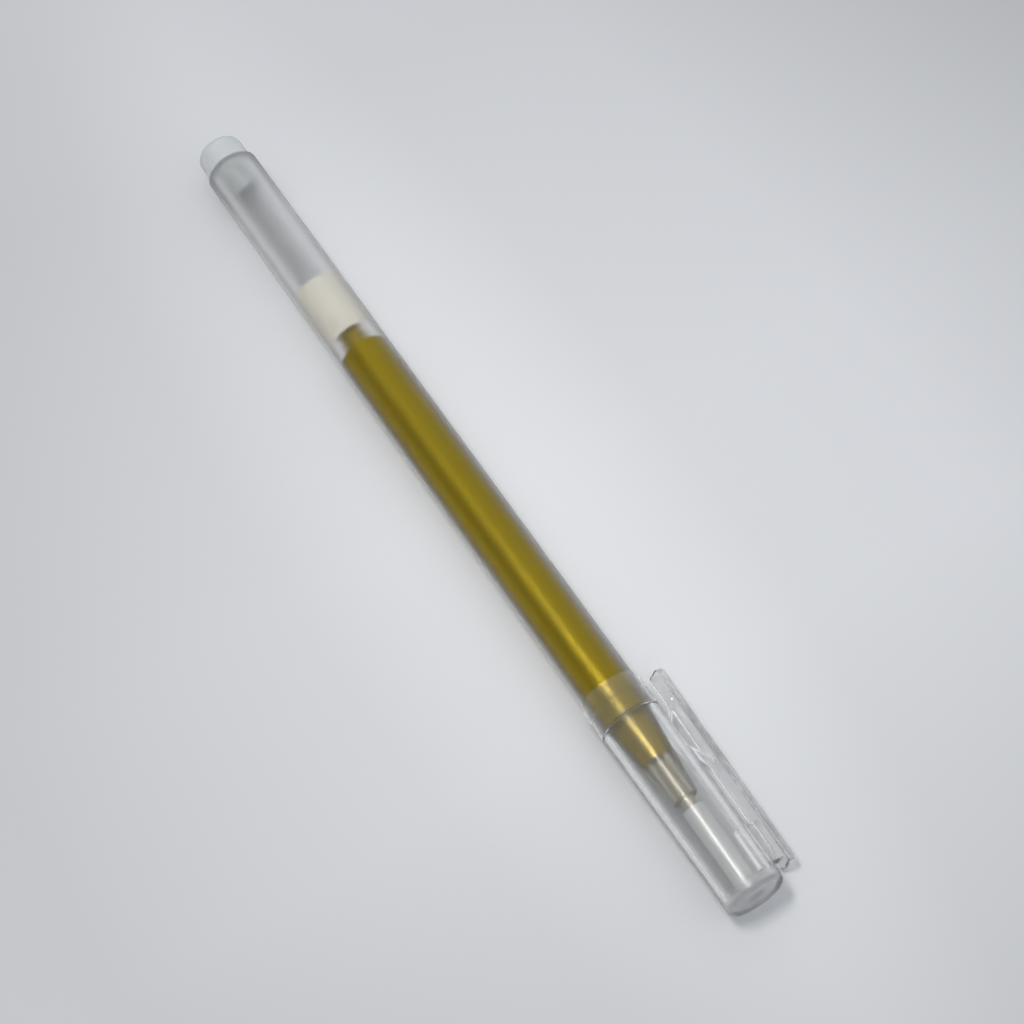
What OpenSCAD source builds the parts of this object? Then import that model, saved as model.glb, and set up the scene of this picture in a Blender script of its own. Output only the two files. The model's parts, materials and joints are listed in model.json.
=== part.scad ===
// A capped, direct-fill gel pen filled with gold ink, lying on its side.
// The pen's axis runs along X, with the writing point and the cap towards +X.
// It is rolled so that the edge of the clip touches the table on the +Y side.
// The origin is on the table, under the middle of the pen's bounding box.

/* [Barrel] */
// Outside diameter of the barrel
barrel_d = 8.6; // [8.2:0.1:9.6]
// Thickness of the barrel's wall
barrel_wall = 2.1; // [1.9:0.05:2.2]
// Length of the barrel between its two end faces
barrel_l = 113.7; // [100:0.1:130]
// Length of the slightly smaller seat on the tail, where a cap or a holder slides on
seat_l = 16; // [10:1:25]

/* [Tail plug] */
// Diameter of the part of the plug that shows
plug_d = 7.4; // [7:0.1:7.8]
// Length of the part of the plug that shows
plug_l = 4.8; // [3:0.1:7]
// Length of the part of the plug that is pressed into the barrel
plug_spigot_l = 6; // [4:0.5:8]

/* [Ink and grease] */
// Distance from the tail face of the barrel to the back of the grease
grease_back = 27; // [12:0.5:40]
// Length of the grease along the wall of the barrel
grease_l = 14.6; // [12:0.1:18]
// How far the back of the ink bulges into the grease
ink_dome_l = 6; // [3:0.5:8]

/* [Nose cone] */
// Length of the part of the nose cone that stands out of the barrel
nose_l = 13.9; // [12:0.1:16]
// Diameter of the nose cone where it leaves the barrel
nose_back_d = 6.8; // [6.4:0.1:6.9]
// Diameter of the nose cone at its front end
nose_front_d = 3.8; // [3.4:0.05:4]
// Length of the ink chamber in front of the barrel
chamber_l = 7; // [5:0.1:8]

/* [Point] */
// Diameter of the metal point's shank
point_d = 2.3; // [2.2:0.05:2.35]
// Length of the metal cone in front of the nose cone
point_cone_l = 2.6; // [2.2:0.1:3.2]
// Diameter of the writing ball
ball_d = 0.8; // [0.7:0.1:1]

/* [Cap] */
// Length of the cap
cap_l = 36; // [33:0.5:40]
// Outside diameter of the cap just behind its open rim
cap_mouth_d = 9.5; // [9.4:0.05:9.7]
// Outside diameter of the cap at its closed end
cap_end_d = 8.9; // [8.6:0.05:9.2]
// How far the cap overlaps the barrel
cap_overlap = 5.4; // [4:0.1:7]

/* [Clip] */
// Width of the clip
clip_w = 3.2; // [2.6:0.1:4]
// Thickness of the clip
clip_t = 1.3; // [1:0.1:1.6]
// Gap between the clip and the cap at the clip's free end
clip_gap_mouth = 3.15; // [2.5:0.05:3.5]
// Gap between the clip and the cap at the clip's root
clip_gap_root = 2.6; // [2:0.05:2.9]
// Width of the block that joins the clip to the cap
block_w = 1.9; // [1.6:0.1:2.4]
// Length of the block that joins the clip to the cap
block_l = 6.2; // [5:0.1:8]

/* [Hidden] */
$fn = 96;

// Small amount by which a cutting shape runs past the face it cuts
over = 0.5;

// Barrel
barrel_r = barrel_d / 2;
bore_r = barrel_r - barrel_wall;
seat_r = barrel_r - 0.05;
seat_ramp = 0.6;
edge = 0.2;
barrel_x0 = plug_l;
barrel_x1 = barrel_x0 + barrel_l;
groove_x = barrel_x1 - 2.6;
groove_w = 0.8;
groove_depth = 0.1;

// Tail plug
plug_r = plug_d / 2;
plug_round = 1.2;
vent_r = 0.5;
plug_pocket_r = bore_r - 1.1;
plug_floor_t = 2;

// Nose cone
nose_x1 = barrel_x1 + nose_l;
nose_spigot_l = 3;
nose_spigot_r = bore_r + 0.6;
nose_back_x = barrel_x1 - nose_spigot_l;
chamber_x1 = barrel_x1 + chamber_l;
chamber_back_r = bore_r - 0.1;
chamber_front_r = chamber_back_r - 0.4;

// Metal point and ball
point_r = point_d / 2;
point_x0 = chamber_x1 + 0.6;
point_bore_r = 0.6;
point_lip_r = ball_d / 2 + 0.06;
point_lip_x = nose_x1 + point_cone_l;
ball_r = ball_d / 2;
ball_gap = 0.02;
socket_r = ball_r + ball_gap;
socket_steps = 14;
ball_x = point_lip_x - 0.12;
socket_back_x = ball_x - ball_r - 0.25;
feed_r = 0.25;

// Spring behind the ball
spring_wire_r = 0.07;
spring_r = 0.4;
spring_turns = 11;
spring_sides = 5;
spring_steps = 10;
spring_x0 = point_x0 + 0.4;
spring_x1 = socket_back_x - 0.6;

// Ink and grease
grease_gap = 0.03;
ink_gap = 0.05;
grease_x0 = barrel_x0 + grease_back;
grease_x1 = grease_x0 + grease_l;
ink_x0 = grease_x1;
dome_steps = 16;

// Cap
cap_x0 = barrel_x1 - cap_overlap;
cap_x1 = cap_x0 + cap_l;
cap_gap = 0.05;
cap_mouth_r = cap_mouth_d / 2;
cap_end_r = cap_end_d / 2;
cap_lip_l = 0.6;
cap_lip_drop = 0.3;
cap_bore_r = barrel_r + cap_gap;
cap_step_x = barrel_x1 + 0.15;
cap_wall = 1.1;
cap_end_t = 1.2;
cap_round = 0.8;
cap_slope = (cap_mouth_r - cap_end_r) / (cap_l - cap_lip_l);
bead_r = barrel_r + 0.02;
bead_w = 0.4;

// Sleeve and seal inside the cap, around the point
sleeve_x0 = nose_x1 + 1.6;
sleeve_x1 = cap_x1 - cap_end_t;
sleeve_bore_r = 1.2;
sleeve_r = 1.65;
boss_l = 2.5;
seal_x0 = ball_x + ball_r + 0.2;
seal_l = 2.3;

// Clip: distances from the pen's axis
clip_x0 = cap_x0 - 0.2;
clip_x1 = cap_x1 - 2.6;
clip_in_mouth = cap_mouth_r + clip_gap_mouth;
clip_in_root = cap_end_r + clip_gap_root;
clip_len = clip_x1 - clip_x0;
clip_corner_r = 0.6;
clip_lean = atan((clip_in_mouth - clip_in_root) / clip_len);
clip_root_gap = 0.03;
block_x1 = clip_x1 - 1;
block_x0 = block_x1 - block_l;
bump_w = 1.8;
bump_gap = 0.3;
bump_back = 5;
bump_peak = 10.5;
bump_front = 16;
bump_tip_r = 1.5;

// The pen is rolled until the outer edge of the clip is level with the bottom of the cap
clip_out = clip_in_mouth + clip_t;
clip_reach = norm([clip_out, clip_w / 2]);
clip_roll = -(asin(cap_mouth_r / clip_reach) - atan2(clip_w / 2, clip_out));

// Where the pen's axis lies above and beside the origin
total_l = cap_x1;
y_far = clip_out * cos(clip_roll) - clip_w / 2 * sin(clip_roll);
axis_y = -(y_far - cap_mouth_r) / 2;
axis_z = cap_mouth_r;

// Puts what is drawn along the pen, from the tail at x = 0, in its place on the table
module placed() {
    translate([-total_l / 2, axis_y, axis_z])
        children();
}

// Turns a profile of [radius, distance along the pen] into a solid of revolution
module turned(points) {
    rotate([0, 90, 0])
        rotate_extrude()
            polygon(points);
}

// A rod along the pen from x0 to x1, tapering from r0 to r1
module rod(x0, x1, r0, r1) {
    translate([x0, 0, 0])
        rotate([0, 90, 0])
            cylinder(h = x1 - x0, r1 = r0, r2 = r1);
}

// Half an ellipse that starts on the axis at x0 and reaches radius r at x0 + length
function dome(x0, length, r) = [
    for (i = [0:dome_steps])
        let (a = 90 * i / dome_steps)
        [r * sin(a), x0 + length * (1 - cos(a))]
];

// A quarter circle from a cylinder's side to its end face at x1
function rounded_end(r, x1, round_r) = [
    for (i = [0:8])
        let (a = 90 * i / 8)
        [r - round_r + round_r * cos(a), x1 - round_r + round_r * sin(a)]
];

module barrel() {
    color([0.86, 0.87, 0.86, 0.6])
        placed()
            difference() {
                turned([
                    [bore_r, barrel_x0],
                    [seat_r - edge, barrel_x0],
                    [seat_r, barrel_x0 + edge],
                    [seat_r, barrel_x0 + edge + seat_l],
                    [barrel_r, barrel_x0 + edge + seat_l + seat_ramp],
                    [barrel_r, groove_x - groove_w / 2],
                    [barrel_r - groove_depth, groove_x - groove_w / 4],
                    [barrel_r - groove_depth, groove_x + groove_w / 4],
                    [barrel_r, groove_x + groove_w / 2],
                    [barrel_r, barrel_x1 - edge],
                    [barrel_r - edge, barrel_x1],
                    [bore_r, barrel_x1]
                ]);
                rod(barrel_x0 - over, barrel_x1 + over, bore_r, bore_r);
                rod(nose_back_x, barrel_x1 + over, nose_spigot_r, nose_spigot_r);
            }
}

module tail_plug() {
    color([0.72, 0.74, 0.75])
        placed()
            difference() {
                union() {
                    mirror([1, 0, 0])
                        turned(concat([[0, -barrel_x0]], [[plug_r, -barrel_x0]],
                            rounded_end(plug_r, 0, plug_round), [[0, 0]]));
                    rod(barrel_x0 - over, barrel_x0 + plug_spigot_l - edge, bore_r, bore_r);
                    rod(barrel_x0 + plug_spigot_l - edge, barrel_x0 + plug_spigot_l,
                        bore_r, bore_r - edge);
                }
                rod(barrel_x0 + plug_floor_t, barrel_x0 + plug_spigot_l + over,
                    plug_pocket_r, plug_pocket_r);
                rod(-over, barrel_x0 + plug_spigot_l, vent_r, vent_r);
            }
}

module nose_cone() {
    color([0.84, 0.82, 0.78, 0.6])
        placed()
            difference() {
                union() {
                    rod(nose_back_x, barrel_x1, nose_spigot_r, nose_spigot_r);
                    rod(barrel_x1, nose_x1, nose_back_d / 2, nose_front_d / 2);
                }
                rod(nose_back_x - over, barrel_x1, chamber_back_r, chamber_back_r);
                rod(barrel_x1, chamber_x1, chamber_back_r, chamber_front_r);
                rod(chamber_x1 - over, nose_x1 + over, point_r, point_r);
            }
}

// The ball's seat, from the front lip back to the feed hole, as [radius, distance] points
function socket_arc() = [
    for (i = [0:socket_steps])
        let (
            front = acos((ball_x - point_lip_x) / socket_r),
            back = asin(feed_r / socket_r),
            a = front + (back - front) * i / socket_steps
        )
        [socket_r * sin(a), ball_x - socket_r * cos(a)]
];

module point_body() {
    color([0.78, 0.77, 0.74])
        placed()
            turned(concat(
                [
                    [point_bore_r, point_x0],
                    [point_r, point_x0],
                    [point_r, nose_x1],
                    [point_lip_r, point_lip_x]
                ],
                socket_arc(),
                [
                    [feed_r, socket_back_x],
                    [point_bore_r, socket_back_x - point_bore_r + feed_r]
                ]
            ));
}

module point_ball() {
    color([0.35, 0.35, 0.37])
        placed()
            translate([ball_x, 0, 0])
                sphere(r = ball_r);
}

// One ring of the spring's wire, at the given share of its length
function spring_ring(share) = [
    for (k = [0:spring_sides - 1])
        let (
            turn = 360 * spring_turns * share,
            a = 360 * k / spring_sides,
            r = spring_r + spring_wire_r * cos(a)
        )
        [
            spring_x0 + (spring_x1 - spring_x0) * share + spring_wire_r * sin(a),
            r * cos(turn),
            r * sin(turn)
        ]
];

module tip_spring() {
    rings = spring_turns * spring_steps;
    points = [for (i = [0:rings]) each spring_ring(i / rings)];
    sides = [
        for (i = [0:rings - 1])
            for (k = [0:spring_sides - 1])
                let (n = (k + 1) % spring_sides)
                each [
                    [
                        i * spring_sides + k,
                        i * spring_sides + n,
                        (i + 1) * spring_sides + n,
                    ],
                    [
                        i * spring_sides + k,
                        (i + 1) * spring_sides + n,
                        (i + 1) * spring_sides + k
                    ]
                ]
    ];
    first = [for (k = [0:spring_sides - 1]) spring_sides - 1 - k];
    last = [for (k = [0:spring_sides - 1]) rings * spring_sides + k];
    color([0.75, 0.75, 0.76])
        placed()
            polyhedron(points = points, faces = concat([first], sides, [last]));
}

module ink_column() {
    color([0.62, 0.51, 0.12])
        placed()
            union() {
                turned(concat(
                    dome(ink_x0 - ink_dome_l, ink_dome_l, bore_r),
                    [
                        [bore_r, nose_back_x],
                        [0, nose_back_x]
                    ]
                ));
                rod(nose_back_x - edge, barrel_x1, chamber_back_r, chamber_back_r);
                rod(barrel_x1, chamber_x1, chamber_back_r, chamber_front_r);
            }
}

module grease_follower() {
    color([0.8, 0.76, 0.68])
        placed()
            difference() {
                rod(grease_x0, grease_x1 - ink_gap, bore_r - grease_gap, bore_r - grease_gap);
                turned(concat(
                    dome(ink_x0 - ink_dome_l - ink_gap, ink_dome_l, bore_r),
                    [
                        [bore_r, ink_x0 + over],
                        [0, ink_x0 + over]
                    ]
                ));
            }
}

// The outside of the cap, grown by a gap where the clip's block meets it
module cap_outside(gap) {
    rod(cap_x0 + cap_lip_l, cap_x1, cap_mouth_r + gap, cap_end_r + gap);
}

module cap_shell() {
    inner_r0 = cap_mouth_r - cap_slope * (cap_step_x - cap_x0) - cap_wall;
    inner_r1 = cap_end_r - cap_wall;
    color([0.85, 0.87, 0.88, 0.4])
        placed()
            difference() {
                turned(concat(
                    [
                        [0, cap_x0],
                        [cap_mouth_r - cap_lip_drop, cap_x0],
                        [cap_mouth_r, cap_x0 + cap_lip_l]
                    ],
                    rounded_end(cap_end_r, cap_x1, cap_round),
                    [[0, cap_x1]]
                ));
                rod(cap_x0 - over, groove_x - bead_w, cap_bore_r, cap_bore_r);
                rod(groove_x - bead_w - over, groove_x + bead_w + over, bead_r, bead_r);
                rod(groove_x + bead_w, cap_step_x, cap_bore_r, cap_bore_r);
                difference() {
                    rod(cap_step_x - edge, sleeve_x1, inner_r0, inner_r1);
                    rod(sleeve_x1 - boss_l, cap_x1, sleeve_bore_r, sleeve_bore_r);
                }
            }
}

module inner_sleeve() {
    color([0.88, 0.89, 0.88, 0.6])
        placed()
            difference() {
                rod(sleeve_x0, sleeve_x1, sleeve_r, sleeve_r);
                rod(sleeve_x0 - over, sleeve_x1 + over, sleeve_bore_r, sleeve_bore_r);
                rod(sleeve_x0 - over, sleeve_x0 + over / 2, sleeve_r, sleeve_bore_r);
            }
}

module tip_seal() {
    color([0.8, 0.8, 0.78, 0.8])
        placed()
            difference() {
                rod(seal_x0, seal_x0 + seal_l, sleeve_bore_r, sleeve_bore_r);
                translate([seal_x0 - ball_r / 2, 0, 0])
                    sphere(r = ball_r);
            }
}

// The flat plate of the clip, drawn flat along X with its inner face at z = 0
module clip_plate() {
    linear_extrude(clip_t)
        union() {
            translate([clip_corner_r, -clip_w / 2])
                square([clip_len - clip_corner_r, clip_w]);
            translate([0, -clip_w / 2 + clip_corner_r])
                square([clip_corner_r + edge, clip_w - 2 * clip_corner_r]);
            for (side = [-1, 1])
                translate([clip_corner_r, side * (clip_w / 2 - clip_corner_r)])
                    circle(r = clip_corner_r);
        }
}

// The nub under the free end of the clip, which grips what the clip is pushed over
module clip_bump() {
    tip_z = clip_gap_mouth - bump_gap - bump_tip_r;
    translate([0, bump_w / 2, 0])
        rotate([90, 0, 0])
            linear_extrude(bump_w)
                union() {
                    polygon([
                        [bump_back, clip_t / 2],
                        [bump_back, 0],
                        [bump_peak - bump_tip_r, -tip_z - bump_tip_r / 2],
                        [bump_peak + bump_tip_r, -tip_z - bump_tip_r / 2],
                        [bump_front, 0],
                        [bump_front, clip_t / 2]
                    ]);
                    translate([bump_peak, -tip_z])
                        circle(r = bump_tip_r);
                }
}

module cap_clip() {
    block_h = clip_in_root + clip_t / 2;
    color([0.87, 0.89, 0.9, 0.5])
        placed()
            rotate([clip_roll - 90, 0, 0])
                difference() {
                    union() {
                        translate([clip_x0, 0, clip_in_mouth])
                            rotate([0, clip_lean, 0]) {
                                clip_plate();
                                clip_bump();
                            }
                        translate([block_x0, -block_w / 2, 0])
                            cube([block_l, block_w, block_h]);
                    }
                    cap_outside(clip_root_gap);
                }
}

barrel();
tail_plug();
nose_cone();
point_body();
tip_spring();
ink_column();
grease_follower();
point_ball();
cap_shell();
inner_sleeve();
tip_seal();
cap_clip();
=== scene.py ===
"""Looks of the capped gel pen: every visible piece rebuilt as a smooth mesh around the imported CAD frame."""

import json
import math

import bmesh
import bpy
from mathutils import Matrix, Vector


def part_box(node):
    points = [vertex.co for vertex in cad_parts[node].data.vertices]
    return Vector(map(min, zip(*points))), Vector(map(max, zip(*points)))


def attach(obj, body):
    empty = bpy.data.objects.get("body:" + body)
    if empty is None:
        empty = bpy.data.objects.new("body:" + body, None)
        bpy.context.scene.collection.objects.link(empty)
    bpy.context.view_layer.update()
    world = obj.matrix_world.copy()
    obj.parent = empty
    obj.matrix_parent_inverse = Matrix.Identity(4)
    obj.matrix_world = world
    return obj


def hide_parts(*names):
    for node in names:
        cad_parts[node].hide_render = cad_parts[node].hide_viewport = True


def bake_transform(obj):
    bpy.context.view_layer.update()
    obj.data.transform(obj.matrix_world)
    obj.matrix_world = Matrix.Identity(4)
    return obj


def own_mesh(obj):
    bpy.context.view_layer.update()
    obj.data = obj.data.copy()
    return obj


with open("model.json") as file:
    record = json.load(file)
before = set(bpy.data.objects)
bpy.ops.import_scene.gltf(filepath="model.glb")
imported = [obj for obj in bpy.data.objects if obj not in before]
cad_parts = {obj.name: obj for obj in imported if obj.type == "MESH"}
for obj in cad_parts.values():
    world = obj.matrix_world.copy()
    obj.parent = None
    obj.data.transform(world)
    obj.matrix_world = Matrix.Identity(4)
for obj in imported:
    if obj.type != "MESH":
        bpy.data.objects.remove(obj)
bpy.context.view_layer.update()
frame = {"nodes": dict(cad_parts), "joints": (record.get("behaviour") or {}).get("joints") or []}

MM = 0.001
SEGMENTS = 160  # round a turned piece
SMOOTH_ANGLE = math.radians(32)  # edges flatter than this are shaded smooth
BEVEL_ANGLE = math.radians(20)  # edges steeper than this are rounded on a prism
WELD = 1e-7  # points closer than this are one point, in metres
TOUCH = 0.02 * MM  # how far one clear piece sinks into the next, so that no air film shows between them

# ---------------------------------------------------------------- places, from the frame


def span(node):
    """Lowest and highest x of a CAD node."""
    low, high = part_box(node)
    return low.x, high.x


def radius(node):
    """Largest radius of a round CAD node about the pen's axis."""
    low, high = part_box(node)
    return (high.y - low.y) / 2


barrel_low, barrel_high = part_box("barrel")
AXIS_Y = (barrel_low.y + barrel_high.y) / 2
AXIS_Z = (barrel_low.z + barrel_high.z) / 2

BARREL_X0, BARREL_X1 = span("barrel")
BARREL_R = radius("barrel")
BORE_R = radius("ink_column")
PLUG_X0, PLUG_X1 = span("tail_plug")
PLUG_R = radius("tail_plug")
NOSE_X0, NOSE_X1 = span("nose_cone")
INK_X0, INK_X1 = span("ink_column")
GREASE_X0 = span("grease_follower")[0]
POINT_X0, POINT_X1 = span("point_body")
POINT_R = radius("point_body")
CAP_X0, CAP_X1 = span("cap_shell")
CAP_R = radius("cap_shell")
SLEEVE_X0, SLEEVE_X1 = span("inner_sleeve")
SLEEVE_R = radius("inner_sleeve")
SEAL_X0, SEAL_X1 = span("tip_seal")
SEAL_R = radius("tip_seal")
CLIP_X0, CLIP_X1 = span("cap_clip")

joints = {joint["name"]: joint for joint in frame["joints"]}
hinge = Vector(joints["clip_flex"]["axis"])
CLIP_OUT = Vector((0, -hinge.z, hinge.y)).normalized()  # from the axis towards the clip
CLIP_SIDE = CLIP_OUT.cross(Vector((1, 0, 0)))  # across the clip

# ---------------------------------------------------------------- sizes that only the looks need

# barrel
SEAT_DROP = 0.05 * MM
SEAT_L = 16 * MM
SEAT_RAMP = 0.6 * MM
GROOVE_BACK = 2.6 * MM  # from the barrel's front end
GROOVE_HALF = 0.4 * MM
GROOVE_FLOOR_HALF = 0.15 * MM
GROOVE_DEPTH = 0.1 * MM

# tail plug
VENT_R = 0.5 * MM
POCKET_WALL = 1.1 * MM
POCKET_BACK = 2 * MM
PLUG_GAP = 0.03 * MM  # from the plug's shoulder to the end of the barrel

# nose cone and point
NOSE_BACK_R = radius("nose_cone")
NOSE_FRONT_R = 1.9 * MM
CHAMBER_BACK_R = BORE_R - 0.1 * MM
CHAMBER_FRONT_R = CHAMBER_BACK_R - 0.4 * MM
FEED_R = 0.6 * MM
BALL_R = radius("point_ball")

# ink and grease
DOME_L = 6 * MM  # round back end of the ink
LIP_L = 2.1 * MM  # part of it that the grease covers

# cap
CAP_END_R = 4.45 * MM
CAP_WALL = 1.1 * MM
CAP_LIP = 0.6 * MM
CAP_STEP = 0.15 * MM
CAP_FIT = 0.05 * MM
BEAD_HALF = 0.35 * MM
BEAD_H = 0.03 * MM
BOSS_L = 2.5 * MM
SLEEVE_BORE_R = 1.2 * MM

# clip, with the nub measured from its free end
CLIP_W = 3.2 * MM
CLIP_T = 1.3 * MM
CLIP_GAP_MOUTH = 3.15 * MM
CLIP_GAP_ROOT = 2.6 * MM
BLOCK_W = 1.9 * MM
BLOCK_L = 6.2 * MM
BLOCK_BACK = 1 * MM
NUB_W = 1.8 * MM
NUB_START = 4.6 * MM
NUB_TOP_START = 9 * MM
NUB_TOP_END = 12 * MM
NUB_END = 16.5 * MM
NUB_GAP = 0.3 * MM

# table, light and camera, in metres
TABLE_HALF = 2.0
SKY_UP = (0, 0.52, 0.854)  # the direction in which the room gets lighter
SKY_LOW = (0.4, 0.415, 0.435, 1)
SKY_HIGH = (0.73, 0.76, 0.79, 1)
KEY_AIM = Vector((CAP_X1 + 10 * MM, AXIS_Y, AXIS_Z))  # a little beyond the cap's closed end
KEY_FROM = (-0.225, -0.28, 0.935)
KEY_DISTANCE = 0.45
KEY_SIZE = (0.13, 0.055)
KEY_WATTS = 0.82
KEY_COLOUR = (1.0, 0.98, 0.95)
CAMERA_AIM = Vector((4.6 * MM, AXIS_Y + 5.52 * MM, 0.15 * MM))
CAMERA_AZIMUTH = math.radians(57.8)
CAMERA_ELEVATION = math.radians(59.6)
CAMERA_DISTANCE = 0.3538
CAMERA_LENS = 84.4  # focal length in mm, on a 36 mm sensor

# ---------------------------------------------------------------- mesh helpers


def finish_mesh(name, bm):
    """Turns a bmesh into an object with outward normals and smooth shading up to an angle."""
    bmesh.ops.remove_doubles(bm, verts=bm.verts, dist=WELD)
    bmesh.ops.recalc_face_normals(bm, faces=bm.faces)
    mesh = bpy.data.meshes.new(name)
    bm.to_mesh(mesh)
    bm.free()
    for face in mesh.polygons:
        face.use_smooth = True
    mesh.set_sharp_from_angle(angle=SMOOTH_ANGLE)
    obj = bpy.data.objects.new(name, mesh)
    bpy.context.scene.collection.objects.link(obj)
    return obj


def filleted(corners, steps=6):
    """Rounds the corners of a closed outline. Each corner is (x, r) or (x, r, fillet radius)."""
    points = []
    count = len(corners)
    for i, corner in enumerate(corners):
        here = Vector(corner[:2])
        size = corner[2] if len(corner) > 2 else 0
        if size == 0:
            points.append(here)
            continue
        before = (Vector(corners[i - 1][:2]) - here).normalized()
        after = (Vector(corners[(i + 1) % count][:2]) - here).normalized()
        half = before.angle(after) / 2
        cut = size / math.tan(half)
        middle = here + (before + after).normalized() * size / math.sin(half)
        start = here + before * cut - middle
        turn = math.pi - 2 * half
        if start.x * (here - middle).y - start.y * (here - middle).x < 0:
            turn = -turn
        for k in range(steps + 1):
            a = turn * k / steps
            points.append(
                middle
                + Vector((
                    start.x * math.cos(a) - start.y * math.sin(a),
                    start.x * math.sin(a) + start.y * math.cos(a),
                ))
            )
    return points


def turned(name, outline):
    """A solid of revolution about the pen's axis from a closed outline of (x, r) points."""
    bm = bmesh.new()
    rings = []
    for x, r in outline:
        if r < WELD:
            rings.append([bm.verts.new((x, AXIS_Y, AXIS_Z))])
            continue
        ring = []
        for k in range(SEGMENTS):
            a = math.tau * k / SEGMENTS
            ring.append(bm.verts.new((x, AXIS_Y + r * math.cos(a), AXIS_Z + r * math.sin(a))))
        rings.append(ring)
    for i, ring in enumerate(rings):
        other = rings[(i + 1) % len(rings)]
        if len(ring) == 1 and len(other) == 1:
            continue
        here, there = len(ring), len(other)
        for k in range(SEGMENTS):
            n = (k + 1) % SEGMENTS
            loop = [ring[k % here], ring[n % here], other[n % there], other[k % there]]
            bm.faces.new(list(dict.fromkeys(loop)))
    return finish_mesh(name, bm)


def half_ellipse(x0, length, r, steps=20):
    """Points from the axis at x0 out to radius r at x0 + length."""
    points = []
    for i in range(steps + 1):
        a = math.pi / 2 * i / steps
        points.append((x0 + length * (1 - math.cos(a)), r * math.sin(a)))
    return points


def prism(name, outline, thickness, place, bevel):
    """A flat outline pushed out by a thickness, with its edges rounded, put in place by a matrix."""
    bm = bmesh.new()
    face = bm.faces.new([bm.verts.new((x, y, -thickness / 2)) for x, y in outline])
    pushed = bmesh.ops.extrude_face_region(bm, geom=[face])
    moved = [v for v in pushed["geom"] if isinstance(v, bmesh.types.BMVert)]
    bmesh.ops.translate(bm, verts=moved, vec=(0, 0, thickness))
    bmesh.ops.recalc_face_normals(bm, faces=bm.faces)
    sharp = [e for e in bm.edges if e.calc_face_angle(0) > BEVEL_ANGLE]
    bmesh.ops.bevel(bm, geom=sharp, offset=bevel, segments=4, profile=0.5, affect="EDGES")
    bmesh.ops.transform(bm, matrix=place, verts=bm.verts)
    return finish_mesh(name, bm)


def joined(name, base, others):
    """The boolean union of a base object and others, as one closed mesh."""
    for other in others:
        cut = base.modifiers.new("join", "BOOLEAN")
        cut.operation = "UNION"
        cut.solver = "EXACT"
        cut.object = other
    graph = bpy.context.evaluated_depsgraph_get()
    mesh = bpy.data.meshes.new_from_object(base.evaluated_get(graph))
    bm = bmesh.new()
    bm.from_mesh(mesh)
    for obj in [base, *others]:
        bpy.data.objects.remove(obj)
    return finish_mesh(name, bm)


# ---------------------------------------------------------------- material helpers


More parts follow.
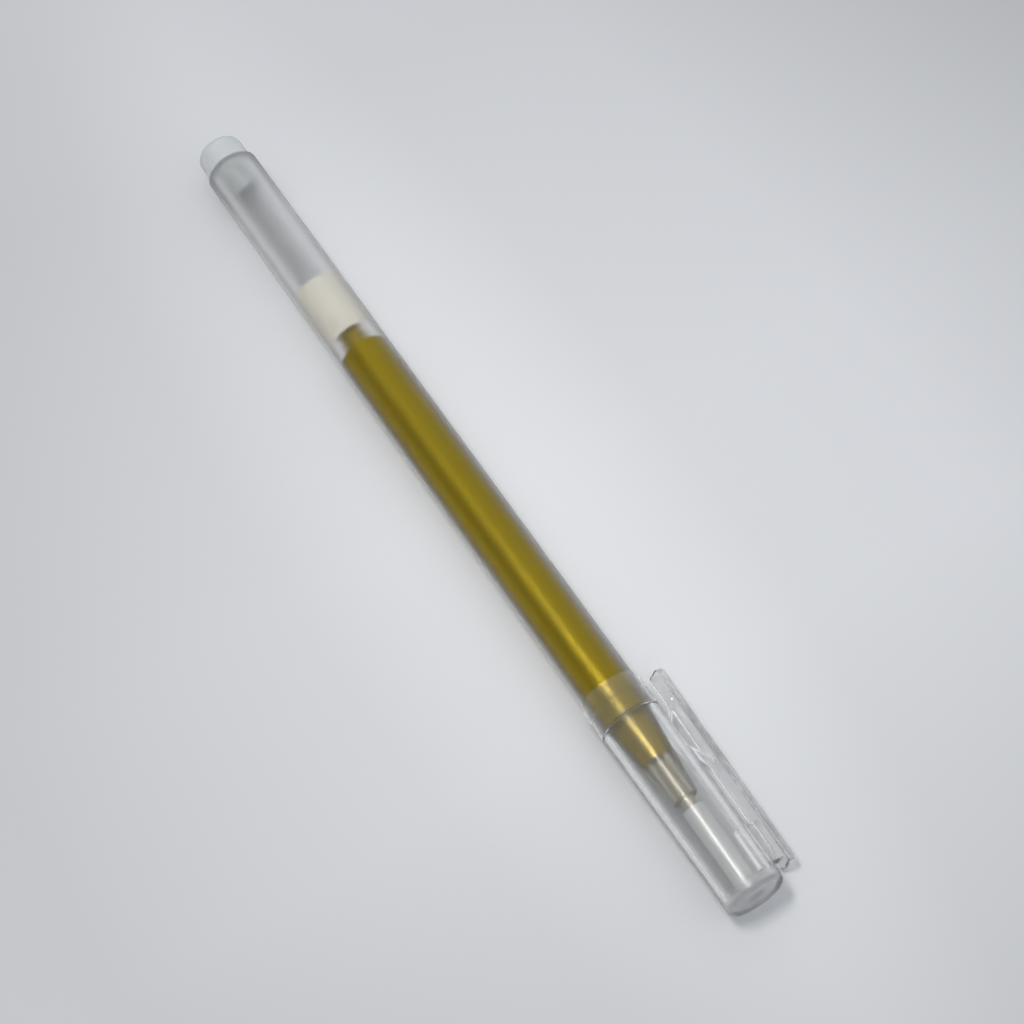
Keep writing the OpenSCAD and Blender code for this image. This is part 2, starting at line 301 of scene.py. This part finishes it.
class Nodes:
    """A material's node tree with short calls for the nodes that repeat."""

    def __init__(self, name):
        self.material = bpy.data.materials.new(name)
        self.material.use_nodes = True
        self.tree = self.material.node_tree
        self.shader = self.tree.nodes["Principled BSDF"]
        self.coords = self.add("ShaderNodeTexCoord").outputs["Object"]

    def add(self, kind, **settings):
        """A new node of a kind, with its settings."""
        node = self.tree.nodes.new(kind)
        for key, value in settings.items():
            setattr(node, key, value)
        return node

    def link(self, source, target):
        """Links an output socket to an input socket."""
        self.tree.links.new(source, target)

    def stretched(self, scale):
        """Object coordinates scaled apart along X, Y and Z."""
        node = self.add("ShaderNodeMapping")
        node.inputs["Scale"].default_value = scale
        self.link(self.coords, node.inputs["Vector"])
        return node.outputs["Vector"]

    def noise(self, scale, detail=4, rough=0.55, vector=None):
        """Smooth noise from about 0 to 1, in object coordinates or in a stretched copy of them."""
        node = self.add("ShaderNodeTexNoise")
        node.inputs["Scale"].default_value = scale
        node.inputs["Detail"].default_value = detail
        node.inputs["Roughness"].default_value = rough
        self.link(vector or self.coords, node.inputs["Vector"])
        return node.outputs["Fac"]

    def specks(self, scale):
        """Distance to the nearest of many scattered points."""
        node = self.add("ShaderNodeTexVoronoi")
        node.inputs["Scale"].default_value = scale
        self.link(self.coords, node.inputs["Vector"])
        return node.outputs["Distance"]

    def ramp(self, factor, low, high, start, end):
        """A value or colour that goes from low to high as the factor goes from start to end."""
        node = self.add("ShaderNodeValToRGB")
        stops = node.color_ramp.elements
        stops[0].position, stops[1].position = start, end
        stops[0].color, stops[1].color = self.colour(low), self.colour(high)
        self.link(factor, node.inputs["Fac"])
        return node.outputs["Color"]

    @staticmethod
    def colour(value):
        """A value or an RGB colour as RGBA."""
        return (*value, 1) if isinstance(value, tuple) else (value, value, value, 1)

    def along(self, start, end):
        """Goes from 0 to 1 along the pen between two x positions."""
        split = self.add("ShaderNodeSeparateXYZ")
        self.link(self.coords, split.inputs["Vector"])
        node = self.add("ShaderNodeMapRange")
        node.inputs["From Min"].default_value = start
        node.inputs["From Max"].default_value = end
        self.link(split.outputs["X"], node.inputs["Value"])
        return node.outputs["Result"]

    def away(self, centre_y, start, end):
        """Goes from 0 to 1 between two distances from (0, centre_y).

        A step along the pen counts as a quarter, so equal values lie on long ellipses.
        """
        lengthwise = 0.25
        place = self.add("ShaderNodeMapping")
        place.inputs["Location"].default_value = (0, -centre_y, 0)
        place.inputs["Scale"].default_value = (lengthwise, 1, 0)
        self.link(self.coords, place.inputs["Vector"])
        length = self.add("ShaderNodeVectorMath", operation="LENGTH")
        self.link(place.outputs["Vector"], length.inputs[0])
        node = self.add("ShaderNodeMapRange")
        node.inputs["From Min"].default_value = start
        node.inputs["From Max"].default_value = end
        self.link(length.outputs["Value"], node.inputs["Value"])
        return node.outputs["Result"]

    def mix(self, factor, first, second, blend="MIX"):
        """Two values or colours mixed by a factor."""
        node = self.add("ShaderNodeMix", data_type="RGBA", blend_type=blend)
        for name, value in (("Factor", factor), ("A", first), ("B", second)):
            socket = node.inputs[name]
            if isinstance(value, bpy.types.NodeSocket):
                self.link(value, socket)
            elif name == "Factor":
                socket.default_value = value
            else:
                socket.default_value = self.colour(value)
        return node.outputs["Result"]

    def bump(self, height, strength, distance):
        """Raises the surface by a height value."""
        node = self.add("ShaderNodeBump")
        node.inputs["Strength"].default_value = strength
        node.inputs["Distance"].default_value = distance
        self.link(height, node.inputs["Height"])
        self.link(node.outputs["Normal"], self.shader.inputs["Normal"])

    def set(self, **values):
        """Sets the shader's own sockets: constants directly, linked values by a link."""
        for key, value in values.items():
            socket = self.shader.inputs[key.replace("_", " ")]
            if isinstance(value, bpy.types.NodeSocket):
                self.link(value, socket)
            else:
                socket.default_value = value


def wear(obj, material):
    """Gives an object its material."""
    obj.data.materials.clear()
    obj.data.materials.append(material)


# ---------------------------------------------------------------- materials


def cap_material():
    """Clear moulded plastic, a little hazy, with hairline scratches and a matt closed end."""
    n = Nodes("clear_cap")
    hairlines = n.noise(1, 3, 0.6, n.stretched((180, 5200, 5200)))
    hair = n.ramp(hairlines, 0.0, 1.0, 0.62, 0.72)
    smudge = n.ramp(n.noise(140, 3), 0.12, 0.18, 0.4, 0.75)
    matt = n.along(CAP_X1 - 3 * MM, CAP_X1 - 0.6 * MM)
    n.set(
        Base_Color=(0.99, 0.99, 0.985, 1),
        Roughness=n.mix(matt, n.mix(hair, smudge, 0.22), 0.4),
        IOR=1.34,
        Transmission_Weight=0.975,
        Specular_Tint=(0.35, 0.35, 0.35, 1),
        Coat_Weight=0.3,
        Coat_Roughness=0.26,
    )
    n.bump(hairlines, 0.02, 0.01 * MM)
    return n.material


def barrel_material():
    """Clear extruded tube with a satin skin and very fine lengthwise drawing marks."""
    n = Nodes("satin_barrel")
    drawn = n.noise(1, 3, 0.6, n.stretched((40, 900, 900)))
    marks = n.noise(1, 2, 0.5, n.stretched((50, 1600, 1600)))
    n.set(
        Base_Color=(0.99, 0.99, 0.985, 1),
        Roughness=n.ramp(drawn, 0.33, 0.39, 0.3, 0.7),
        IOR=1.56,
        Specular_Tint=(0.2, 0.2, 0.2, 1),
        Transmission_Weight=1.0,
    )
    n.bump(marks, 0.02, 0.02 * MM)
    return n.material


def plug_material():
    """Milky moulded plug."""
    n = Nodes("tail_plug")
    cloud = n.noise(900, 4)
    n.set(
        Base_Color=n.ramp(cloud, (0.83, 0.85, 0.86), (0.88, 0.9, 0.905), 0.35, 0.65),
        Roughness=n.ramp(cloud, 0.42, 0.54, 0.3, 0.7),
        IOR=1.4,
        Specular_IOR_Level=0.2,
        Transmission_Weight=0.55,
    )
    n.bump(n.noise(4200, 3), 0.05, 0.02 * MM)
    return n.material


def nose_material():
    """Clear moulded nose, faintly beige, with flow marks from the mould."""
    n = Nodes("nose_plastic")
    flow = n.noise(1, 4, 0.55, n.stretched((260, 700, 700)))
    n.set(
        Base_Color=n.ramp(flow, (0.95, 0.92, 0.8), (0.98, 0.965, 0.88), 0.35, 0.65),
        Roughness=n.ramp(flow, 0.38, 0.45, 0.3, 0.7),
        IOR=1.45,
        Specular_Tint=(0.3, 0.3, 0.3, 1),
        Transmission_Weight=0.98,
    )
    n.bump(flow, 0.05, 0.02 * MM)
    return n.material


def ink_material():
    """Metallic gold gel: fine flakes, and slow streaks where the ink has settled along the tube."""
    n = Nodes("gold_ink")
    flakes = n.specks(14000)
    settled = n.noise(1, 4, 0.55, n.stretched((30, 260, 260)))
    body = n.ramp(settled, (0.31, 0.219, 0.004), (0.347, 0.249, 0.005), 0.35, 0.68)
    glint = n.ramp(flakes, (0.48, 0.345, 0.014), (0.315, 0.224, 0.005), 0.05, 0.4)
    round_way = n.add("ShaderNodeTangent", direction_type="RADIAL", axis="X").outputs["Tangent"]
    n.set(
        Base_Color=n.mix(0.25, body, glint),
        Metallic=1.0,
        Roughness=n.ramp(flakes, 0.2, 0.25, 0.1, 0.6),
        Anisotropic=0.7,
        Tangent=round_way,
    )
    n.bump(flakes, 0.02, 0.01 * MM)
    return n.material


def grease_material():
    """Cream grease with cloudy patches."""
    n = Nodes("grease")
    cloud = n.noise(700, 4)
    n.set(
        Base_Color=n.ramp(cloud, (0.955, 0.91, 0.785), (0.99, 0.95, 0.83), 0.35, 0.65),
        Roughness=n.ramp(cloud, 0.45, 0.57, 0.3, 0.7),
        Specular_IOR_Level=0.2,
    )
    n.bump(cloud, 0.05, 0.05 * MM)
    return n.material


def metal_material(name, colour, rough, stretch):
    """Turned or drawn metal with fine marks round or along it."""
    n = Nodes(name)
    marks = n.noise(1, 3, 0.6, n.stretched(stretch))
    dark = tuple(c * 0.8 for c in colour)
    n.set(
        Base_Color=n.ramp(marks, dark, colour, 0.35, 0.65),
        Metallic=1.0,
        Roughness=n.ramp(marks, rough, rough + 0.14, 0.3, 0.7),
    )
    n.bump(marks, 0.15, 0.01 * MM)
    return n.material


def soft_material(name, colour, transmission, rough):
    """Soft milky or clear elastomer."""
    n = Nodes(name)
    cloud = n.noise(260, 2)
    light = tuple(min(1, c * 1.03) for c in colour)
    n.set(
        Base_Color=n.ramp(cloud, colour, light, 0.35, 0.65),
        Roughness=n.ramp(cloud, rough, rough + 0.08, 0.3, 0.7),
        IOR=1.41,
        Transmission_Weight=transmission,
    )
    n.bump(cloud, 0.005, 0.01 * MM)
    return n.material


def floor_material():
    """Pale grey laminate, very slightly mottled, with painted light and shade in its tone.

    Painted light keeps it lighter beside the pen, where the pen's shadow falls. Painted shade darkens it
    further out, towards the tail and past the cap, as the light falls off over the table. Far out it turns
    lighter again.
    """
    n = Nodes("floor")
    cloud = n.noise(9, 4)
    past_tail, middle, past_cap = (0.665, 0.669, 0.69), (0.745, 0.75, 0.772), (0.58, 0.584, 0.602)
    full, dimmed, dim, mottled = (tuple([level] * 3) for level in (1, 0.88, 0.65, 0.985))
    centre_y = 30 * MM
    # painted shade: darker towards the tail and past the cap's end, where the light falls off over the table
    tail = n.mix(n.along(BARREL_X0 - 10 * MM, 0), past_tail, middle)
    tone = n.mix(n.along(40 * MM, 120 * MM), tail, past_cap)
    # painted light: full brightness within 8 mm of the pen's axis, where the pen's shadow falls, dimmed by 32
    # mm
    near = n.mix(n.away(0, 8 * MM, 32 * MM), full, dimmed)
    # painted shade: darker still out to 110 mm from the pen, as the light falls off
    far = n.mix(n.away(centre_y, 36 * MM, 110 * MM), near, dim)
    # painted light: lighter again from 130 mm out to 420 mm, where the key's light has fallen off
    farthest = n.mix(n.away(centre_y, 130 * MM, 420 * MM), far, full)
    marks = n.mix(1.0, farthest, n.ramp(cloud, mottled, full, 0.35, 0.65), "MULTIPLY")
    n.set(
        Base_Color=n.mix(1.0, tone, marks, "MULTIPLY"),
        Roughness=0.55,
    )
    n.bump(n.noise(1800, 3), 0.05, 0.05 * MM)
    return n.material


# ---------------------------------------------------------------- pieces


def make_barrel():
    """The tube, whose wall also takes the place of the nose's clear spigot inside it."""
    seat_end = BARREL_X0 + SEAT_L + 0.2 * MM
    groove = BARREL_X1 - GROOVE_BACK
    seat_r = BARREL_R - SEAT_DROP
    groove_r = BARREL_R - GROOVE_DEPTH
    outline = filleted([
        (BARREL_X0, BORE_R, 0.1 * MM),
        (BARREL_X0, seat_r, 0.25 * MM),
        (seat_end, seat_r),
        (seat_end + SEAT_RAMP, BARREL_R),
        (groove - GROOVE_HALF, BARREL_R, 0.1 * MM),
        (groove - GROOVE_FLOOR_HALF, groove_r, 0.1 * MM),
        (groove + GROOVE_FLOOR_HALF, groove_r, 0.1 * MM),
        (groove + GROOVE_HALF, BARREL_R, 0.1 * MM),
        (BARREL_X1, BARREL_R, 0.25 * MM),
        (BARREL_X1, CHAMBER_BACK_R),
        (NOSE_X0, CHAMBER_BACK_R),
        (NOSE_X0, BORE_R),
    ])
    piece = turned("barrel_tube", outline)
    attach(piece, "barrel")
    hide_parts("barrel")
    wear(piece, barrel_material())


def make_plug():
    """The tail plug: a head behind the tube, a spigot in it, an air vent and a moulding pocket."""
    pocket_r = BORE_R - POCKET_WALL
    floor_x = BARREL_X0 + POCKET_BACK
    shoulder_x = BARREL_X0 - PLUG_GAP
    outline = filleted([
        (PLUG_X0, VENT_R, 0.15 * MM),
        (PLUG_X0, PLUG_R, 1.2 * MM),
        (shoulder_x, PLUG_R, 0.12 * MM),
        (shoulder_x, BORE_R - TOUCH),
        (PLUG_X1, BORE_R - TOUCH, 0.3 * MM),
        (PLUG_X1, pocket_r, 0.2 * MM),
        (floor_x, pocket_r, 0.3 * MM),
        (floor_x, VENT_R),
    ])
    piece = turned("tail_plug_body", outline)
    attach(piece, "barrel")
    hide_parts("tail_plug")
    wear(piece, plug_material())


def make_nose():
    """The tapered nose with its ink chamber. Its spigot is drawn as part of the barrel's wall."""
    point_fit_r = POINT_R + 0.01 * MM
    outline = filleted([
        (BARREL_X1 - TOUCH, CHAMBER_BACK_R),
        (BARREL_X1 - TOUCH, NOSE_BACK_R),
        (NOSE_X1, NOSE_FRONT_R, 0.4 * MM),
        (NOSE_X1, point_fit_r, 0.05 * MM),
        (INK_X1, point_fit_r),
        (INK_X1, CHAMBER_FRONT_R),
    ])
    piece = turned("nose_cone_body", outline)
    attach(piece, "barrel")
    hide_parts("nose_cone")
    wear(piece, nose_material())


def make_point():
    """The turned metal point with its feed hole and the ball's socket."""
    lip_r = BALL_R + 0.06 * MM
    seat_x = POINT_X1 - 0.5 * MM
    step_x = NOSE_X1 + 0.35 * MM
    cone_x = NOSE_X1 + 0.5 * MM
    outline = filleted([
        (POINT_X0, FEED_R, 0.1 * MM),
        (POINT_X0, POINT_R, 0.15 * MM),
        (step_x, POINT_R, 0.1 * MM),
        (cone_x, POINT_R - 0.12 * MM, 0.05 * MM),
        (POINT_X1 - 0.35 * MM, lip_r + 0.06 * MM, 0.1 * MM),
        (POINT_X1, lip_r, 0.03 * MM),
        (POINT_X1, BALL_R),
        (seat_x, BALL_R - 0.05 * MM),
        (seat_x - 0.3 * MM, FEED_R / 2),
        (seat_x - 0.8 * MM, FEED_R),
    ], 4)
    piece = turned("metal_point", outline)
    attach(piece, "barrel")
    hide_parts("point_body")
    wear(piece, metal_material("point_metal", (0.5, 0.46, 0.35), 0.46, (9000, 500, 500)))


def make_ink(material):
    """The ink in three lengths.

    Its round back end moves with the grease; its long middle and its front, in the nose, stay with the
    barrel.
    """
    overlap = 0.05 * MM
    dome_r = BORE_R + TOUCH
    dome_x0 = INK_X0 - TOUCH
    dome_x1 = INK_X0 + DOME_L
    dome = turned("ink_back", [*half_ellipse(dome_x0, dome_x1 - dome_x0, dome_r), (dome_x1 + TOUCH, 0)])
    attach(dome, "follower")
    wear(dome, material)

    middle = turned("ink_middle", [(dome_x1, 0), (dome_x1, dome_r), (NOSE_X0, dome_r), (NOSE_X0, 0)])
    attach(middle, "barrel")
    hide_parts("ink_column")
    wear(middle, material)
    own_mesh(middle)

    front = turned("ink_front", filleted([
        (NOSE_X0 - overlap, 0),
        (NOSE_X0 - overlap, CHAMBER_BACK_R + TOUCH),
        (BARREL_X1, CHAMBER_BACK_R + TOUCH),
        (INK_X1 + TOUCH, CHAMBER_FRONT_R + TOUCH),
        (INK_X1 + TOUCH, 0),
    ]))
    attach(front, "barrel")
    wear(front, material)


def make_grease():
    """The plug of grease, cupped round the ink's tip. Its thin edge further along the tip is left out."""
    r = BORE_R + TOUCH
    cavity = half_ellipse(INK_X0 + 0.05 * MM, DOME_L, BORE_R - 0.01 * MM)
    lip_x = INK_X0 + LIP_L
    inside = [(x, y) for x, y in cavity if x < lip_x - 0.3 * MM]
    plug = turned("grease_plug", [
        (GREASE_X0 + 0.3 * MM, 0),
        (GREASE_X0 + 0.2 * MM, r * 0.6),
        (GREASE_X0, r),
        (lip_x, r),
        (lip_x - 0.1 * MM, inside[-1][1] + 0.1 * MM),
        *reversed(inside),
    ])
    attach(plug, "follower")
    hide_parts("grease_follower")
    wear(plug, grease_material())


def clip_frame(x, height):
    """A matrix whose X is the pen's, Y runs across the clip and Z points away from the pen's axis."""
    place = Matrix.Identity(4)
    for column, direction in enumerate((Vector((1, 0, 0)), -CLIP_SIDE, CLIP_OUT)):
        for row in range(3):
            place[row][column] = direction[row]
    place.translation = Vector((x, AXIS_Y, AXIS_Z)) + CLIP_OUT * height
    return place


def make_cap(material):
    """The cap with its clip, block and nub, as the single moulding that the real one is."""
    step_x = BARREL_X1 + CAP_STEP
    slope = (CAP_R - CAP_END_R) / (CAP_X1 - CAP_X0 - CAP_LIP)
    inner_r0 = CAP_R - slope * (step_x - CAP_X0) - CAP_WALL
    inner_r1 = CAP_END_R - CAP_WALL
    bore_r = BARREL_R + CAP_FIT
    bead_x = BARREL_X1 - GROOVE_BACK
    outline = filleted([
        (CAP_X0, bore_r, 0.06 * MM),
        (CAP_X0, CAP_R - 0.3 * MM),
        (CAP_X0 + CAP_LIP, CAP_R, 0.5 * MM),
        (CAP_X1, CAP_END_R, 0.8 * MM),
        (CAP_X1, 0),
        (SLEEVE_X1 - BOSS_L, 0),
        (SLEEVE_X1 - BOSS_L, SLEEVE_BORE_R - TOUCH, 0.2 * MM),
        (SLEEVE_X1, SLEEVE_BORE_R - TOUCH),
        (SLEEVE_X1, inner_r1, 0.5 * MM),
        (step_x, inner_r0, 0.12 * MM),
        (step_x, bore_r, 0.06 * MM),
        (bead_x + BEAD_HALF, bore_r),
        (bead_x, bore_r - BEAD_H, 0.3 * MM),
        (bead_x - BEAD_HALF, bore_r),
    ], 8)
    shell = turned("shell", outline)

    in_mouth = CAP_R + CLIP_GAP_MOUTH
    in_root = CAP_END_R + CLIP_GAP_ROOT
    length = CLIP_X1 - CLIP_X0
    lean = math.atan((in_mouth - in_root) / length)
    plate_at = clip_frame(CLIP_X0, in_mouth) @ Matrix.Rotation(lean, 4, "Y")
    half_w = CLIP_W / 2
    plan = filleted([
        (0, -half_w, 0.8 * MM),
        (length, -half_w),
        (length, half_w),
        (0, half_w, 0.8 * MM),
    ])
    plate = prism("plate", plan, CLIP_T, plate_at @ Matrix.Translation((0, 0, CLIP_T / 2)), 0.4 * MM)

    tip = CLIP_GAP_MOUTH - NUB_GAP
    nub = filleted([
        (NUB_START, 0.5 * MM),
        (NUB_START, 0.03 * MM, 0.4 * MM),
        (NUB_TOP_START, -tip, 1.5 * MM),
        (NUB_TOP_END, -tip, 1.5 * MM),
        (NUB_END, 0.03 * MM, 0.4 * MM),
        (NUB_END, 0.5 * MM),
    ])
    nub_at = plate_at @ Matrix.Rotation(math.pi / 2, 4, "X")
    bump = prism("bump", nub, NUB_W, nub_at, 0.3 * MM)

    block_x = CLIP_X1 - BLOCK_BACK - BLOCK_L
    foot = CAP_END_R - CAP_WALL / 2
    top = in_root + CLIP_T / 2
    side = [(0, foot), (BLOCK_L, foot), (BLOCK_L, top), (0, top)]
    block_at = clip_frame(block_x, 0) @ Matrix.Rotation(math.pi / 2, 4, "X")
    block = prism("block", side, BLOCK_W, block_at, 0.12 * MM)

    piece = joined("cap_with_clip", shell, [plate, bump, block])
    wear(piece, material)
    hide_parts("cap_shell", "cap_clip")
    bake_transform(piece)


def make_sleeve():
    """The small tube in the cap's closed end, round the point."""
    end_x = SLEEVE_X1 - 0.02 * MM
    outline = filleted([
        (SLEEVE_X0, SLEEVE_BORE_R + 0.2 * MM),
        (SLEEVE_X0, SLEEVE_R, 0.12 * MM),
        (end_x, SLEEVE_R, 0.05 * MM),
        (end_x, SLEEVE_BORE_R),
        (SLEEVE_X0 + 0.25 * MM, SLEEVE_BORE_R),
    ], 4)
    piece = turned("inner_sleeve_tube", outline)
    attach(piece, "cap")
    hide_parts("inner_sleeve")
    wear(piece, soft_material("soft_clear", (0.93, 0.935, 0.93), 0.6, 0.34))


def make_seal():
    """The soft plug in the sleeve, with a dimple that the ball sits against."""
    dimple = BALL_R * 0.9
    r = SEAL_R - 0.02 * MM
    outline = [
        *reversed(half_ellipse(SEAL_X0 + dimple, -dimple, dimple, 10)),
        *filleted([
            (SEAL_X0, r, 0.1 * MM),
            (SEAL_X1, r, 0.15 * MM),
            (SEAL_X1, 0),
        ]),
    ]
    piece = turned("tip_seal_plug", outline)
    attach(piece, "cap")
    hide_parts("tip_seal")
    wear(piece, soft_material("soft_seal", (0.86, 0.86, 0.84), 0.3, 0.3))


def dress_cad_nodes():
    """The two metal pieces whose CAD shape is right keep it and take a material."""
    finishes = (
        ("tip_spring", "spring_metal", (0.6, 0.6, 0.61), 0.22, (4000, 4000, 4000)),
        ("point_ball", "ball_metal", (0.32, 0.32, 0.34), 0.12, (3000, 3000, 3000)),
    )
    for node, slot, colour, rough, stretch in finishes:
        material = metal_material(slot, colour, rough, stretch)
        obj = frame["nodes"][node]
        for place in obj.material_slots:
            place.link = "OBJECT"
            place.material = material


# ---------------------------------------------------------------- stage, light and camera


def make_floor():
    """The table, which leans a little because it touches the cap's rim and the narrower barrel."""
    rim = Vector((CAP_X0 + CAP_LIP, AXIS_Y, AXIS_Z - CAP_R))
    heel = Vector((BARREL_X0 + SEAT_L, AXIS_Y, AXIS_Z - BARREL_R))
    lean = math.atan2(heel.z - rim.z, rim.x - heel.x)
    corners = ((-1, -1), (1, -1), (1, 1), (-1, 1))
    bm = bmesh.new()
    bm.faces.new([bm.verts.new((x * TABLE_HALF, y * TABLE_HALF, 0)) for x, y in corners])
    place = Matrix.Translation(rim) @ Matrix.Rotation(lean, 4, "Y")
    bmesh.ops.transform(bm, matrix=place, verts=bm.verts)
    floor = finish_mesh("floor", bm)
    floor.data.materials.append(floor_material())


def make_key():
    """One soft rectangular light, which makes the highlight along the pen."""
    light = bpy.data.lights.new("key", "AREA")
    light.shape = "RECTANGLE"
    light.size, light.size_y = KEY_SIZE
    light.energy = KEY_WATTS
    light.color = KEY_COLOUR
    obj = bpy.data.objects.new("key", light)
    away = Vector(KEY_FROM).normalized()
    obj.location = KEY_AIM + away * KEY_DISTANCE
    obj.rotation_mode = "QUATERNION"
    obj.rotation_quaternion = away.to_track_quat("Z", "Y")
    bpy.context.scene.collection.objects.link(obj)


def make_room():
    """A plain grey room, lighter overhead."""
    world = bpy.data.worlds.new("room")
    world.use_nodes = True
    tree = world.node_tree
    height = tree.nodes.new("ShaderNodeVectorMath")
    height.operation = "DOT_PRODUCT"
    height.inputs[1].default_value = SKY_UP
    tree.links.new(tree.nodes.new("ShaderNodeTexCoord").outputs["Generated"], height.inputs[0])
    sky = tree.nodes.new("ShaderNodeValToRGB")
    low, high = sky.color_ramp.elements
    low.position, low.color = 0.0, SKY_LOW
    high.position, high.color = 0.6, SKY_HIGH
    tree.links.new(height.outputs["Value"], sky.inputs["Fac"])
    tree.links.new(sky.outputs["Color"], tree.nodes["Background"].inputs["Color"])
    bpy.context.scene.world = world
    bpy.context.scene.view_settings.view_transform = "Standard"


def make_camera():
    """A long lens that looks down at the pen from beyond the cap's end."""
    back = Vector((
        math.sin(CAMERA_AZIMUTH) * math.cos(CAMERA_ELEVATION),
        -math.cos(CAMERA_AZIMUTH) * math.cos(CAMERA_ELEVATION),
        math.sin(CAMERA_ELEVATION),
    ))
    data = bpy.data.cameras.new("camera")
    data.sensor_width = 36
    data.lens = CAMERA_LENS
    data.clip_start = 0.01
    camera = bpy.data.objects.new("camera", data)
    camera.location = CAMERA_AIM + back * CAMERA_DISTANCE
    camera.rotation_mode = "QUATERNION"
    camera.rotation_quaternion = (-back).to_track_quat("-Z", "Y")
    bpy.context.scene.collection.objects.link(camera)
    bpy.context.scene.camera = camera


make_camera()
make_floor()
make_room()
make_key()
make_barrel()
make_plug()
make_nose()
make_point()
make_ink(ink_material())
make_grease()
make_cap(cap_material())
make_sleeve()
make_seal()
dress_cad_nodes()
